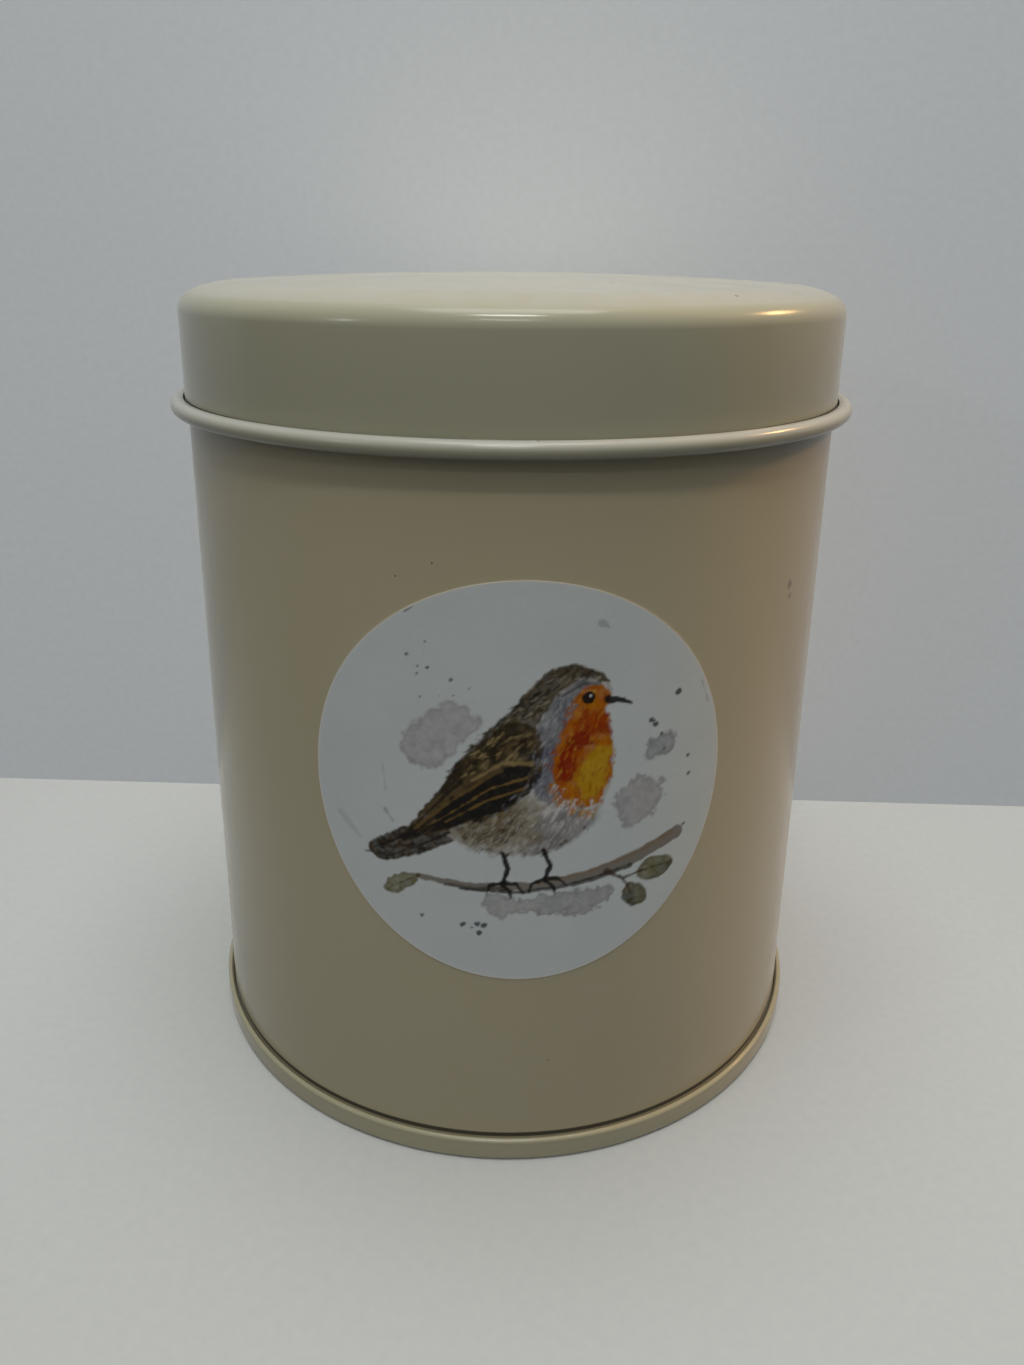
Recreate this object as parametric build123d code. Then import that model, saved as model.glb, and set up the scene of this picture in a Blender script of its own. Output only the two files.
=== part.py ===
from build123d import *
import os
from math import atan, cos, degrees, pi, radians, sin

# Round slip-lid coffee tin of enamelled tinplate.
# Millimetres, +Z up. The origin is the centre of the circle the tin stands on.
# -Y is the front, where the round picture label sits, and +Y is the back, where the side seam runs.

# Driving dimensions
SHEET = 0.25                 # tinplate thickness, the same for every pressed piece
BODY_RADIUS = 49.75          # outside of the body wall
BODY_HEIGHT = 118.2          # mouth of the body above the ground
LID_HEIGHT = 122.2           # middle of the lid's crown above the ground, lid on
LID_CORNER = 3.0             # outside radius where the lid's skirt turns inwards
LID_SHOULDER = 16.0          # outside radius of the wider turn between the corner and the crown
LID_CORNER_SLOPE = 65.0      # degrees that the surface has turned by at the top of the corner
LID_CROWN_SLOPE = 86.5       # degrees that it has turned by where the shallow crown begins
SLIP_CLEARANCE = 0.15        # radial gap between the body wall and the lid's skirt
LID_BEAD_RADIUS = 1.2        # outside radius of the lid's rolled bead
LID_BEAD_HEIGHT = 103.5      # centre of the rolled bead above the ground
LID_BEAD_TURN = 305.0        # degrees that the bead is rolled through
MOUTH_CURL_RADIUS = 0.9      # outside radius of the body's inward mouth curl
MOUTH_CURL_TURN = 300.0      # degrees that the mouth is curled through
SEAM_HEIGHT = 3.5            # double seam that joins the base panel to the body
LABEL_DIAMETER = 57.0        # cut size of the flat label
LABEL_HEIGHT = 59.1          # centre of the label above the ground
LABEL_THICKNESS = 0.12       # paper and adhesive

# Double seam, from the body wall outwards
CREVICE = 0.22               # open gap between the body wall and the base panel's hook
LAYER_GAP = 0.08             # gap between folded layers
SEAM_EDGE_RADIUS = 0.6       # rounding of the seam's bottom edges
COVER_HOOK_LENGTH = 1.9      # straight part of the base panel's hook
BODY_HOOK_LENGTH = 1.2       # straight part of the body's hook
COMPOUND_CLEARANCE = 0.02    # radial gap on each side of the sealing compound
PANEL_HEIGHT = 3.3           # underside of the base panel above the ground
PANEL_CORNER = 1.0           # where the base panel turns down into its chuck wall
PANEL_BEAD_RADIUS = 38.0     # circle of the pressed expansion bead in the base panel
PANEL_BEAD_WIDTH = 4.0
PANEL_BEAD_DEPTH = 0.8

# Side seam of the body, folded flat against the inside
SIDE_SEAM_WIDTH = 3.2
SIDE_SEAM_BOTTOM = SEAM_HEIGHT + 1.5
SIDE_SEAM_TOP = BODY_HEIGHT - 3.0
SIDE_SEAM_ROOT = 0.05        # how far the fold is sunk into the wall it is joined to
GROOVE_WIDTH = 0.25
GROOVE_DEPTH = 0.12

# Radii of the double seam's layers
body_inner = BODY_RADIUS - SHEET
chuck_inner = body_inner - LAYER_GAP - SHEET
cover_hook_inner = BODY_RADIUS + CREVICE
body_hook_inner = cover_hook_inner + SHEET + LAYER_GAP
seam_outer = body_hook_inner + 2 * SHEET + LAYER_GAP
lid_radius = BODY_RADIUS + SLIP_CLEARANCE + SHEET

# Heights in the double seam
body_turn_radius = (body_hook_inner - BODY_RADIUS) / 2
body_turn_height = body_turn_radius + 2 * SHEET + LAYER_GAP
body_hook_top = body_turn_height + BODY_HOOK_LENGTH
seam_turn_radius = (seam_outer - cover_hook_inner) / 2
seam_turn_height = SEAM_HEIGHT - seam_turn_radius
cover_hook_end = seam_turn_height - COVER_HOOK_LENGTH


def line(start, end):
    return ("line", start, end)


def arc(centre, radius, start, sweep):
    """Arc in the profile plane, in degrees, anticlockwise where sweep is positive."""
    return ("arc", centre, radius, start, sweep)


def edge(step, inset=0.0):
    """Edge of one step, moved to the left of its direction by the inset."""
    if step[0] == "line":
        start, end = Vector(*step[1]), Vector(*step[2])
        along = (end - start).normalized()
        shift = Vector(-along.Y, along.X) * inset
        return Line(start + shift, end + shift)
    centre, radius, start, sweep = step[1:]
    return CenterArc(centre, radius - inset if sweep > 0 else radius + inset, start, sweep)


def pressed(steps, thickness=SHEET):
    """Revolved sheet, with its metal on the left of the steps, or on the right where negative."""
    drawn = [edge(step) for step in steps]
    other = [edge(step, thickness) for step in steps]
    ends = [Line(drawn[0] @ 0, other[0] @ 0), Line(drawn[-1] @ 1, other[-1] @ 1)]
    profile = make_face(Wire(drawn + other + ends))
    return revolve(Plane.XZ * profile, Axis.Z)


def wall_sector(inner, outer, low, high, width, angle=90.0):
    """Upright strip of a round wall, its width along the outer radius, its middle at that angle."""
    sweep = degrees(width / outer)
    section = Plane.XZ * Pos((inner + outer) / 2, (low + high) / 2) * Rectangle(outer - inner, high - low)
    return Rot(0, 0, angle - sweep / 2) * revolve(section, Axis.Z, revolution_arc=sweep)


def body_shell():
    """Side wall: a rolled sheet with an inward mouth curl, a folded side seam and a hook at its foot."""
    turn_centre = (BODY_RADIUS + body_turn_radius, body_turn_height)
    curl_centre = (BODY_RADIUS - MOUTH_CURL_RADIUS, BODY_HEIGHT - MOUTH_CURL_RADIUS)
    wall = pressed(
        [
            line((body_hook_inner, body_hook_top), (body_hook_inner, body_turn_height)),
            arc(turn_centre, body_turn_radius, 0, -180),
            line((BODY_RADIUS, body_turn_height), (BODY_RADIUS, curl_centre[1])),
            arc(curl_centre, MOUTH_CURL_RADIUS, 0, MOUTH_CURL_TURN),
        ]
    )
    fold = wall_sector(
        body_inner - 2 * SHEET, body_inner + SIDE_SEAM_ROOT, SIDE_SEAM_BOTTOM, SIDE_SEAM_TOP,
        SIDE_SEAM_WIDTH,
    )
    groove = wall_sector(
        BODY_RADIUS - GROOVE_DEPTH, BODY_RADIUS + 1, SIDE_SEAM_BOTTOM, SIDE_SEAM_TOP, GROOVE_WIDTH,
        angle=90 + degrees(SIDE_SEAM_WIDTH / 2 / BODY_RADIUS),
    )
    return wall + fold - groove


def base_panel():
    """Pressed bottom: a raised panel with a bead, a chuck wall, and a rim folded over the body's hook."""
    rest_inner = chuck_inner + SEAM_EDGE_RADIUS
    rest_outer = seam_outer - SEAM_EDGE_RADIUS
    bead_in = PANEL_BEAD_RADIUS - PANEL_BEAD_WIDTH / 2
    bead_out = PANEL_BEAD_RADIUS + PANEL_BEAD_WIDTH / 2
    slope = 2 * atan(2 * PANEL_BEAD_DEPTH / PANEL_BEAD_WIDTH)
    bead_curve = PANEL_BEAD_WIDTH / 4 / sin(slope)
    slope = degrees(slope)
    shoulder = PANEL_HEIGHT - bead_curve
    hollow = PANEL_HEIGHT - PANEL_BEAD_DEPTH + bead_curve
    return pressed(
        [
            line((0, PANEL_HEIGHT), (bead_in, PANEL_HEIGHT)),
            arc((bead_in, shoulder), bead_curve, 90, -slope),
            arc((PANEL_BEAD_RADIUS, hollow), bead_curve, 270 - slope, 2 * slope),
            arc((bead_out, shoulder), bead_curve, 90 + slope, -slope),
            line((bead_out, PANEL_HEIGHT), (chuck_inner - PANEL_CORNER, PANEL_HEIGHT)),
            arc((chuck_inner - PANEL_CORNER, PANEL_HEIGHT - PANEL_CORNER), PANEL_CORNER, 90, -90),
            line((chuck_inner, PANEL_HEIGHT - PANEL_CORNER), (chuck_inner, SEAM_EDGE_RADIUS)),
            arc((rest_inner, SEAM_EDGE_RADIUS), SEAM_EDGE_RADIUS, 180, 90),
            line((rest_inner, 0), (rest_outer, 0)),
            arc((rest_outer, SEAM_EDGE_RADIUS), SEAM_EDGE_RADIUS, 270, 90),
            line((seam_outer, SEAM_EDGE_RADIUS), (seam_outer, seam_turn_height)),
            arc((seam_outer - seam_turn_radius, seam_turn_height), seam_turn_radius, 0, 180),
            line((cover_hook_inner, seam_turn_height), (cover_hook_inner, cover_hook_end)),
        ]
    )


def seam_compound():
    """Ring of rubber compound in the top fold of the double seam, on the end of the body's hook."""
    inner = cover_hook_inner + SHEET + COMPOUND_CLEARANCE
    outer = seam_outer - SHEET - COMPOUND_CLEARANCE
    height = seam_turn_height - body_hook_top
    ring = Cylinder(outer, height) - Cylinder(inner, height)
    return Pos(0, 0, body_hook_top + height / 2) * ring


def lid():
    """Drawn cap: a shallow crown, a shoulder, a corner, a straight skirt and a bead rolled outwards."""
    corner, crown = radians(LID_CORNER_SLOPE), radians(LID_CROWN_SLOPE)
    corner_middle = lid_radius - LID_CORNER
    shoulder_middle = corner_middle - (LID_SHOULDER - LID_CORNER) * cos(corner)
    crown_radius = shoulder_middle / cos(crown) + LID_SHOULDER
    crown_base = LID_HEIGHT - crown_radius
    shoulder_base = crown_base + (crown_radius - LID_SHOULDER) * sin(crown)
    corner_base = shoulder_base + (LID_SHOULDER - LID_CORNER) * sin(corner)
    bead_roll = LID_BEAD_RADIUS - SHEET
    shoulder_sweep = LID_CORNER_SLOPE - LID_CROWN_SLOPE
    return pressed(
        [
            arc((0, crown_base), crown_radius, 90, LID_CROWN_SLOPE - 90),
            arc((shoulder_middle, shoulder_base), LID_SHOULDER, LID_CROWN_SLOPE, shoulder_sweep),
            arc((corner_middle, corner_base), LID_CORNER, LID_CORNER_SLOPE, -LID_CORNER_SLOPE),
            line((lid_radius, corner_base), (lid_radius, LID_BEAD_HEIGHT)),
            arc((lid_radius + bead_roll, LID_BEAD_HEIGHT), bead_roll, 180, LID_BEAD_TURN),
        ],
        -SHEET,
    )


def picture_label():
    """Round paper label on the front of the wall: the flat disc keeps its width along the curve."""
    steps = 48
    radius = LABEL_DIAMETER / 2
    rim = []
    for step in range(steps):
        turn = 2 * pi * step / steps
        around = radius * cos(turn) / BODY_RADIUS
        rim.append((BODY_RADIUS * sin(around), radius * sin(turn)))
    outline = make_face(Wire([Spline(rim, periodic=True)]))
    cutter = extrude(Plane.XZ * outline, BODY_RADIUS * 1.2)
    band = LABEL_DIAMETER * 1.2
    skin = Cylinder(BODY_RADIUS + LABEL_THICKNESS, band) - Cylinder(BODY_RADIUS, band)
    return Pos(0, 0, LABEL_HEIGHT) * (skin & cutter)


PARTS = {
    "body_shell": body_shell,
    "base_panel": base_panel,
    "seam_compound": seam_compound,
    "lid": lid,
    "picture_label": picture_label,
}

os.makedirs("parts", exist_ok=True)
for name, make in PARTS.items():
    export_step(make(), f"parts/{name}.step")
    print("wrote", name)
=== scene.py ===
import bpy
import math
import numpy as np
from mathutils import Euler, Matrix, Vector


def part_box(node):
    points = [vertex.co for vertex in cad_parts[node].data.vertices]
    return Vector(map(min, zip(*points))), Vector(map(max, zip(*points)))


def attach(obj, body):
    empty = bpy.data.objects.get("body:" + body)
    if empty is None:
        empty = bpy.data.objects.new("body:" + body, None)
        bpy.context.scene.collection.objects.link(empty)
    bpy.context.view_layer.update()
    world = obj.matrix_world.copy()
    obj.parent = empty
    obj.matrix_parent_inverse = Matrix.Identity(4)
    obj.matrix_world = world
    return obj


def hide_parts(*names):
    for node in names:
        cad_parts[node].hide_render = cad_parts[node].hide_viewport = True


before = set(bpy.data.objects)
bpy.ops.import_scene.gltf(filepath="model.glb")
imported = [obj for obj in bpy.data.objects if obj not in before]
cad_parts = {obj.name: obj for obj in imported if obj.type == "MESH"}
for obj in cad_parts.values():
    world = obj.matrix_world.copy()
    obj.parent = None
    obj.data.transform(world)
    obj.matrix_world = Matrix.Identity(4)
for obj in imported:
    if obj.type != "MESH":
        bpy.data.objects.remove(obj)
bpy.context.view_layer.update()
mm = 0.001
print("frame loaded")


# modelling helpers

def objectMode():
    if bpy.context.object and bpy.context.mode != "OBJECT":
        bpy.ops.object.mode_set(mode="OBJECT")


def deselectAll():
    objectMode()
    bpy.ops.object.select_all(action="DESELECT")


def onlySelect(piece):
    deselectAll()
    piece.select_set(True)
    bpy.context.view_layer.objects.active = piece


def startProfile(name, x, z):
    # one point of a cross-section, drawn in the plane y = 0
    deselectAll()
    bpy.ops.mesh.primitive_plane_add(size=mm)
    piece = bpy.context.object
    piece.name = name
    bpy.ops.object.mode_set(mode="EDIT")
    bpy.ops.mesh.merge(type="CENTER")
    bpy.ops.transform.translate(value=(x, 0, z))
    return piece


def drawLine(fromPoint, toPoint, steps=1):
    step = ((toPoint[0] - fromPoint[0]) / steps, 0, (toPoint[1] - fromPoint[1]) / steps)
    for _ in range(steps):
        bpy.ops.mesh.extrude_region_move(TRANSFORM_OT_translate={"value": step})


def drawArc(centre, degrees, steps):
    # anticlockwise where degrees is positive, seen from the front
    bpy.ops.mesh.spin(steps=steps, angle=math.radians(degrees),
                      center=(centre[0], 0, centre[1]), axis=(0, 1, 0))


def turnRound(degrees, steps):
    # anticlockwise, seen from above
    bpy.ops.mesh.spin(steps=steps, angle=-math.radians(degrees), center=(0, 0, 0), axis=(0, 0, 1))


def closeShell():
    # doubles first, then normals, before the sheet gets its thickness
    bpy.ops.mesh.select_all(action="SELECT")
    bpy.ops.mesh.remove_doubles(threshold=0.002 * mm)
    bpy.ops.mesh.normals_make_consistent(inside=False)
    objectMode()


def applyModifier(piece, kind, **settings):
    onlySelect(piece)
    bpy.ops.object.modifier_add(type=kind)
    modifier = piece.modifiers[-1]
    for key, value in settings.items():
        setattr(modifier, key, value)
    bpy.ops.object.modifier_apply(modifier=modifier.name)


def thicken(piece):
    # the drawn face is the outside of the sheet
    applyModifier(piece, "SOLIDIFY", thickness=sheet, offset=-1.0, use_even_offset=True)


def smooth(piece):
    onlySelect(piece)
    bpy.ops.object.shade_smooth_by_angle(angle=math.radians(35))


def points(piece):
    places = np.empty(len(piece.data.vertices) * 3)
    piece.data.vertices.foreach_get("co", places)
    return places.reshape(-1, 3)


def setPoints(piece, places):
    piece.data.vertices.foreach_set("co", places.astype(np.float32).ravel())
    piece.data.update()


def facesWhere(piece, test):
    # test takes arrays: radius, height, and the parts of the face's normal away from the axis and up
    count = len(piece.data.polygons)
    centres, normals = np.empty(count * 3), np.empty(count * 3)
    piece.data.polygons.foreach_get("center", centres)
    piece.data.polygons.foreach_get("normal", normals)
    centres, normals = centres.reshape(-1, 3), normals.reshape(-1, 3)
    radius = np.hypot(centres[:, 0], centres[:, 1])
    outward = (centres[:, 0] * normals[:, 0] + centres[:, 1] * normals[:, 1]) / np.maximum(radius, 1e-9)
    return test(radius, centres[:, 2], outward, normals[:, 2])


def giveMaterial(piece, materials, pick=None):
    piece.data.materials.clear()
    for material in materials:
        piece.data.materials.append(material)
    index = np.zeros(len(piece.data.polygons), dtype=np.int32) if pick is None else pick.astype(np.int32)
    piece.data.polygons.foreach_set("material_index", index)


# material helpers

def fromHex(code):
    values = [int(code[i:i + 2], 16) / 255 for i in (1, 3, 5)]
    return tuple(v / 12.92 if v <= 0.04045 else ((v + 0.055) / 1.055) ** 2.4 for v in values) + (1.0,)


def newMaterial(name):
    material = bpy.data.materials.new(name)
    material.use_nodes = True
    material.node_tree.nodes.clear()
    return material, material.node_tree


def addNode(tree, kind, settings=None, inputs=None):
    # a node with its settings; an input is a value, or another node's output to link
    node = tree.nodes.new(kind)
    for key, value in (settings or {}).items():
        setattr(node, key, value)
    for key, value in (inputs or {}).items():
        if isinstance(value, bpy.types.NodeSocket):
            tree.links.new(value, node.inputs[key])
        else:
            node.inputs[key].default_value = value
    return node


# enamel: stoved cream enamel sprayed on tinplate, semi-gloss with crisp highlights and a fine orange peel

enamel = {
    "grime": "#4d463a",          # dust and handling marks
    "paintedShade": "#26262a",           # painted shade for crevices, under edges and low down
    "lidShadow": "#33291a",       # painted shadow under the lid's edge
    "highlightTint": "#eeeee6",         # painted highlight along the bead's top
    "scuff": "#6e5940",
    "chip": "#e6e2d2",
    "dustAndSheenTint": "#d3d5d6",           # settled dust, which also paints the pale sheen on the lid's top
    "roughness": 0.18,
    "ior": 1.52,
    "peelSize": 1.1 * mm,        # spacing of the orange peel's dimples
    "peelDepth": 0.0016 * mm,
    "cloudSize": 22 * mm,        # slow changes in the coat
    "smearSize": 9 * mm,         # handling smears, seen in the gloss
    "raggedSize": 0.7 * mm,      # wobble of a mark's edge
    "dustSize": 4 * mm,          # patches in the dust
    "bloom": 0.12,               # the pale haze of an old coat
}


def makeEnamel(name, cream, thick, rings, marks=(), dustAndSheen=0.0):
    material, tree = newMaterial(name)
    place = addNode(tree, "ShaderNodeTexCoord").outputs["Object"]
    clouds = addNode(tree, "ShaderNodeTexNoise", None, {
        "Vector": place, "Scale": 1 / enamel["cloudSize"], "Detail": 3.0})
    colour = addNode(tree, "ShaderNodeMix", {"data_type": "RGBA"}, {
        "Factor": clouds.outputs["Fac"], 6: fromHex(cream), 7: fromHex(thick)}).outputs[2]
    ragged = addNode(tree, "ShaderNodeTexNoise", None, {
        "Vector": place, "Scale": 1 / enamel["raggedSize"], "Detail": 2.0})
    if dustAndSheen:
        # a thin film of dust on what faces up, a little patchy; it also paints the pale sheen of the lid's top
        facing = addNode(tree, "ShaderNodeSeparateXYZ", None, {
            0: addNode(tree, "ShaderNodeTexCoord").outputs["Normal"]}).outputs["Z"]
        film = addNode(tree, "ShaderNodeMapRange", {"clamp": True}, {
            "Value": facing, "From Min": 0.75, "From Max": 0.98, "To Min": 0.0, "To Max": dustAndSheen})
        drifts = addNode(tree, "ShaderNodeTexNoise", None, {
            "Vector": place, "Scale": 1 / enamel["dustSize"], "Detail": 6.0})
        patchy = addNode(tree, "ShaderNodeMapRange", {"clamp": True}, {
            "Value": drifts.outputs["Fac"], "From Min": 0.32, "From Max": 0.62, "To Min": 0.5, "To Max": 1.2})
        film = addNode(tree, "ShaderNodeMath", {"operation": "MULTIPLY"}, {
            0: film.outputs["Result"], 1: patchy.outputs["Result"]})
        colour = addNode(tree, "ShaderNodeMix", {"data_type": "RGBA"}, {
            "Factor": film.outputs[0], 6: colour, 7: fromHex(enamel["dustAndSheenTint"])}).outputs[2]
    for spot, millimetres, strength, kind in marks:
        # a small handling mark: a ball of the given size round a point, with a ragged edge
        size = millimetres * mm
        away = addNode(tree, "ShaderNodeVectorMath", {"operation": "DISTANCE"}, {
            0: place, 1: tuple(value * mm for value in spot)})
        wobble = addNode(tree, "ShaderNodeMath", {"operation": "MULTIPLY_ADD"}, {
            0: ragged.outputs["Fac"], 1: size, 2: away.outputs["Value"]})
        amount = addNode(tree, "ShaderNodeMapRange", {"clamp": True}, {
            "Value": wobble.outputs[0], "From Min": size * 1.1, "From Max": size * 1.6,
            "To Min": strength, "To Max": 0.0})
        colour = addNode(tree, "ShaderNodeMix", {"data_type": "RGBA"}, {
            "Factor": amount.outputs["Result"], 6: colour, 7: fromHex(enamel[kind])}).outputs[2]
    level = addNode(tree, "ShaderNodeVectorMath", {"operation": "MULTIPLY"}, {0: place, 1: (1, 1, 0)})
    across = addNode(tree, "ShaderNodeVectorMath", {"operation": "LENGTH"}, {0: level.outputs[0]})
    upwards = addNode(tree, "ShaderNodeSeparateXYZ", None, {0: place})
    section = addNode(tree, "ShaderNodeCombineXYZ", None, {
        "X": across.outputs["Value"], "Z": upwards.outputs["Z"]})
    for radius, height, core, reach, strength, tint in rings:
        # painted shade in a crevice, under an edge or low down, or a painted highlight line, by the distance
        # from its circle
        away = addNode(tree, "ShaderNodeVectorMath", {"operation": "DISTANCE"}, {
            0: section.outputs[0], 1: (radius, 0, height)})
        amount = addNode(tree, "ShaderNodeMapRange", {"clamp": True}, {
            "Value": away.outputs["Value"], "From Min": core, "From Max": reach,
            "To Min": strength, "To Max": 0.0})
        colour = addNode(tree, "ShaderNodeMix", {"data_type": "RGBA"}, {
            "Factor": amount.outputs["Result"], 6: colour, 7: fromHex(tint)}).outputs[2]
    smears = addNode(tree, "ShaderNodeTexNoise", None, {
        "Vector": place, "Scale": 1 / enamel["smearSize"], "Detail": 4.0})
    rough = addNode(tree, "ShaderNodeMapRange", None, {
        "Value": smears.outputs["Fac"], "From Min": 0.3, "From Max": 0.7,
        "To Min": enamel["roughness"] - 0.03, "To Max": enamel["roughness"] + 0.05})
    peel = addNode(tree, "ShaderNodeTexNoise", None, {
        "Vector": place, "Scale": 1 / enamel["peelSize"], "Detail": 1.0})
    bump = addNode(tree, "ShaderNodeBump", None, {
        "Strength": 1.0, "Distance": enamel["peelDepth"], "Height": peel.outputs["Fac"]})
    shader = addNode(tree, "ShaderNodeBsdfPrincipled", None, {
        "Base Color": colour, "Roughness": rough.outputs["Result"], "IOR": enamel["ior"],
        "Normal": bump.outputs["Normal"], "Sheen Weight": enamel["bloom"], "Sheen Roughness": 0.4})
    addNode(tree, "ShaderNodeOutputMaterial", None, {"Surface": shader.outputs[0]})
    return material


# tinplate: cold-rolled steel with a bright tin coat and a clear lacquer, with fine mill lines

tinplate = {
    "tin": "#c9c6bc",
    "lacquer": "#c4b78f",        # clear lacquer, very slightly gold
    "roughness": 0.3,
    "grainSize": 0.15 * mm,      # spacing of the mill lines, drawn coarser than real so that they show
    "grainLength": 40,           # how many times longer the lines are than wide
    "patchSize": 12 * mm,        # uneven lacquer
}


def makeTinplate():
    material, tree = newMaterial("tinplateLacquered")
    place = addNode(tree, "ShaderNodeTexCoord").outputs["Object"]
    long = tinplate["grainLength"]
    stretched = addNode(tree, "ShaderNodeMapping", None, {"Vector": place, "Scale": (1.0, 1.0, long)})
    lines = addNode(tree, "ShaderNodeTexNoise", None, {
        "Vector": stretched.outputs[0], "Scale": 1 / (long * tinplate["grainSize"]), "Detail": 3.0})
    uneven = addNode(tree, "ShaderNodeTexNoise", None, {
        "Vector": place, "Scale": 1 / tinplate["patchSize"], "Detail": 3.0})
    colour = addNode(tree, "ShaderNodeMix", {"data_type": "RGBA"}, {
        "Factor": uneven.outputs["Fac"], 6: fromHex(tinplate["tin"]), 7: fromHex(tinplate["lacquer"])})
    rough = addNode(tree, "ShaderNodeMapRange", None, {
        "Value": lines.outputs["Fac"],
        "To Min": tinplate["roughness"] - 0.08, "To Max": tinplate["roughness"] + 0.12})
    bump = addNode(tree, "ShaderNodeBump", None, {
        "Strength": 0.3, "Distance": 0.002 * mm, "Height": lines.outputs["Fac"]})
    shader = addNode(tree, "ShaderNodeBsdfPrincipled", None, {
        "Base Color": colour.outputs[2], "Metallic": 1.0, "Roughness": rough.outputs["Result"],
        "Normal": bump.outputs["Normal"], "Coat Weight": 0.4, "Coat Roughness": 0.15})
    addNode(tree, "ShaderNodeOutputMaterial", None, {"Surface": shader.outputs[0]})
    return material


# sealing compound: dull grey rubber that was run into the seam wet, so it is slightly lumpy

rubber = {
    "dark": "#4a4843",
    "pale": "#5c5952",
    "roughness": 0.8,
    "lumpSize": 0.5 * mm,
    "lumpDepth": 0.02 * mm,
}


def makeCompound():
    material, tree = newMaterial("sealingRubber")
    place = addNode(tree, "ShaderNodeTexCoord").outputs["Object"]
    lumps = addNode(tree, "ShaderNodeTexNoise", None, {
        "Vector": place, "Scale": 1 / rubber["lumpSize"], "Detail": 3.0})
    colour = addNode(tree, "ShaderNodeMix", {"data_type": "RGBA"}, {
        "Factor": lumps.outputs["Fac"], 6: fromHex(rubber["dark"]), 7: fromHex(rubber["pale"])})
    bump = addNode(tree, "ShaderNodeBump", None, {
        "Strength": 0.6, "Distance": rubber["lumpDepth"], "Height": lumps.outputs["Fac"]})
    shader = addNode(tree, "ShaderNodeBsdfPrincipled", None, {
        "Base Color": colour.outputs[2], "Roughness": rubber["roughness"], "Normal": bump.outputs["Normal"]})
    addNode(tree, "ShaderNodeOutputMaterial", None, {"Surface": shader.outputs[0]})
    return material


# label stock: uncoated white sticker paper, printed, with a faint tooth

paper = {
    "roughness": 0.62,
    "ior": 1.45,
    "shine": 0.25,               # uncoated stock reflects little
    "toothSize": 0.35 * mm,      # spacing of the paper's tooth
    "toothDepth": 0.006 * mm,
}


def makePaper():
    material, tree = newMaterial("printedPaper")
    place = addNode(tree, "ShaderNodeTexCoord").outputs["Object"]
    painted = addNode(tree, "ShaderNodeAttribute", {"attribute_name": "painting"})
    tooth = addNode(tree, "ShaderNodeTexNoise", None, {
        "Vector": place, "Scale": 1 / paper["toothSize"], "Detail": 3.0})
    shade = addNode(tree, "ShaderNodeMapRange", None, {
        "Value": tooth.outputs["Fac"], "To Min": 0.96, "To Max": 1.03})
    colour = addNode(tree, "ShaderNodeVectorMath", {"operation": "SCALE"}, {
        0: painted.outputs["Color"], "Scale": shade.outputs["Result"]})
    bump = addNode(tree, "ShaderNodeBump", None, {
        "Strength": 0.5, "Distance": paper["toothDepth"], "Height": tooth.outputs["Fac"]})
    shader = addNode(tree, "ShaderNodeBsdfPrincipled", None, {
        "Base Color": colour.outputs[0], "Roughness": paper["roughness"], "IOR": paper["ior"],
        "Specular IOR Level": paper["shine"], "Normal": bump.outputs["Normal"]})
    addNode(tree, "ShaderNodeOutputMaterial", None, {"Surface": shader.outputs[0]})
    return material


# sizes shared by the pressed pieces, taken from the frame

labelLow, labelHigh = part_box("picture_label")
lidLow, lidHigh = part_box("lid")
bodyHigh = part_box("body_shell")[1]
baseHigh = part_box("base_panel")[1]
sheet = 0.25 * mm
labelPaper = 0.12 * mm
wallRadius = -labelLow.y - labelPaper
turns = 288                      # columns round each pressed piece

# lid

lid = {
    "bead": 1.2 * mm,            # outside radius of the rolled bead
    "beadTurn": 305,
    "corner": 3.0 * mm,
    "shoulder": 16.0 * mm,
    "cornerSlope": 65.0,
    "crownSlope": 86.5,
}


def makeLid():
    top = lidHigh.z
    skirt = lidHigh.x - 2 * lid["bead"] + sheet
    beadHeight = lidLow.z + lid["bead"]
    corner, crown = math.radians(lid["cornerSlope"]), math.radians(lid["crownSlope"])
    cornerMiddle = skirt - lid["corner"]
    shoulderMiddle = cornerMiddle - (lid["shoulder"] - lid["corner"]) * math.cos(corner)
    crownRadius = shoulderMiddle / math.cos(crown) + lid["shoulder"]
    crownBase = top - crownRadius
    shoulderBase = crownBase + (crownRadius - lid["shoulder"]) * math.sin(crown)
    cornerBase = shoulderBase + (lid["shoulder"] - lid["corner"]) * math.sin(corner)
    piece = startProfile("lidPressed", 0, top)
    drawArc((0, crownBase), lid["crownSlope"] - 90, 14)
    drawArc((shoulderMiddle, shoulderBase), lid["cornerSlope"] - lid["crownSlope"], 10)
    drawArc((cornerMiddle, cornerBase), -lid["cornerSlope"], 14)
    drawLine((skirt, cornerBase), (skirt, beadHeight), 8)
    drawArc((skirt + lid["bead"] - sheet, beadHeight), lid["beadTurn"], 30)
    bpy.ops.mesh.select_all(action="SELECT")
    turnRound(360, turns)
    closeShell()
    thicken(piece)
    smooth(piece)
    return piece


# body shell

body = {
    "curl": 0.9 * mm,            # outside radius of the mouth curl
    "curlTurn": 300,
    "crevice": 0.22 * mm,        # from the wall to the base panel's hook
    "layerGap": 0.08 * mm,
    "hook": 1.2 * mm,
    "seamWidth": 3.2 * mm,       # side seam at the back
    "seamLow": 1.5 * mm,         # from the base panel's rim to its lower end
    "seamHigh": 3.0 * mm,        # from its upper end to the mouth
    "grooveFade": 1.0 * mm,      # over which the groove runs out at both ends
    "grooveWidth": 0.34 * mm,
    "grooveDepth": 0.12 * mm,
    "foldSunk": 0.02 * mm,       # how far the fold is sunk into the wall
    "foldEdge": 0.12 * mm,       # rounding of the fold
    "seamDegrees": 6.0,          # stretch of the wall with fine columns for the side seam
    "seamColumns": 64,
}


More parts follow.
